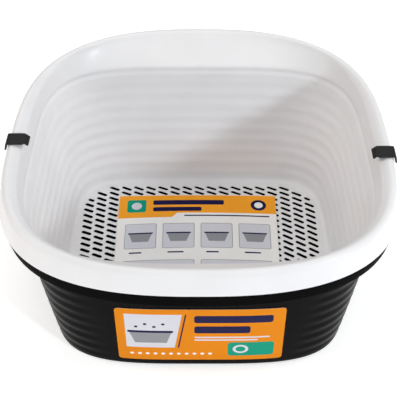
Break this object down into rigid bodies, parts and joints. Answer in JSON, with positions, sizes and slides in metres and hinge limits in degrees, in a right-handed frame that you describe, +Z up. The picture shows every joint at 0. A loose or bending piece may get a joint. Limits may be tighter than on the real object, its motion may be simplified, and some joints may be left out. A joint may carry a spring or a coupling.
{
  "type": "sifting litter box",
  "caption": "Nested litter box for cats: a slotted sifting pan in solid pans, with clips over the rim and a card on the sieve floor.",
  "frame": {"origin": "on the floor, below the middle of the box", "axes": "+Z up, the labelled front faces -Y, +X to the right of someone facing the front"},
  "size_m": [0.3894, 0.36, 0.2072],
  "materials": {
    "black_plastic": "satin moulded, soft horizontal ribs",
    "white_plastic": "satin moulded, soft horizontal ribs",
    "clip_plastic": "fine matt",
    "label_sheet": null,
    "card": null
  },
  "bodies": {
    "lower": {"lower_pan": "black_plastic", "front_label": "label_sheet"},
    "waste": {"waste_pan": "black_plastic"},
    "sifting": {"sifting_pan": "white_plastic"},
    "card": {"instruction_card": "card"},
    "clip_left": {"rim_clip_left": "clip_plastic"},
    "clip_right": {"rim_clip_right": "clip_plastic"}
  },
  "joints": [
    {"name": "waste_pan_lift", "type": "slide", "parent": "lower", "child": "waste", "axis": [0, 0, 1], "range_m": [0, 0.22]},
    {"name": "sifting_pan_lift", "type": "slide", "parent": "waste", "child": "sifting", "axis": [0, 0, 1], "range_m": [0, 0.22]},
    {"name": "card_lift", "type": "slide", "parent": "sifting", "child": "card", "axis": [0, 0, 1], "range_m": [0, 0.25]},
    {"name": "left_clip_swing", "type": "hinge", "parent": "sifting", "child": "clip_left", "pos_m": [-0.16905, -0.0045, 0.2024], "axis": [0, 1, 0], "range_deg": [0, 100]},
    {"name": "right_clip_swing", "type": "hinge", "parent": "sifting", "child": "clip_right", "pos_m": [0.1699, -0.0225, 0.2024], "axis": [0, -1, 0], "range_deg": [0, 100]}
  ]
}
